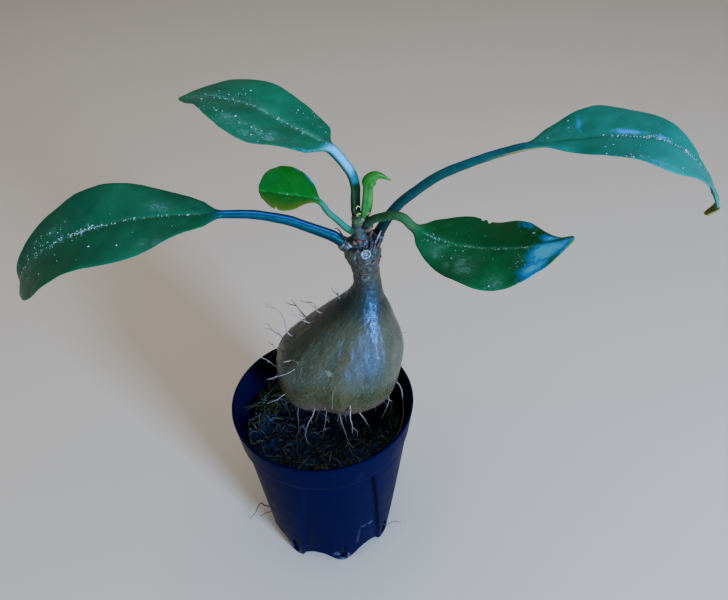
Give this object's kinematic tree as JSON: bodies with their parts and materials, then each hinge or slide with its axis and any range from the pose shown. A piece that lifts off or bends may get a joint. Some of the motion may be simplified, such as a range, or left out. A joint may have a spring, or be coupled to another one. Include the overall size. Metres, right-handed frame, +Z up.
{
  "type": "potted ant plant",
  "caption": "Caudex ant plant with a swollen grey stem, woody crown, loose rootlets and thick oval leaves on arching petioles, in a small round plastic nursery pot.",
  "frame": {"origin": "middle of the pot's underside, on the flat disc between its feet", "axes": "+Z up along the pot's axis; -Y towards the plant's front; +X to the right, along the line of the two longest leaves"},
  "size_m": [0.1831, 0.0696, 0.1565],
  "materials": {
    "pot": "satin",
    "soil": "matte",
    "caudex": "matte",
    "leaf": "satin",
    "young_leaf": "satin",
    "shoot": "satin"
  },
  "bodies": {
    "root": {"pot": "pot", "soil": "soil", "caudex": "caudex", "leaf_left": "leaf", "leaf_upper": "leaf", "leaf_right": "leaf", "leaf_lower_right": "leaf", "leaf_young": "young_leaf", "shoot_tip": "shoot"}
  },
  "joints": []
}
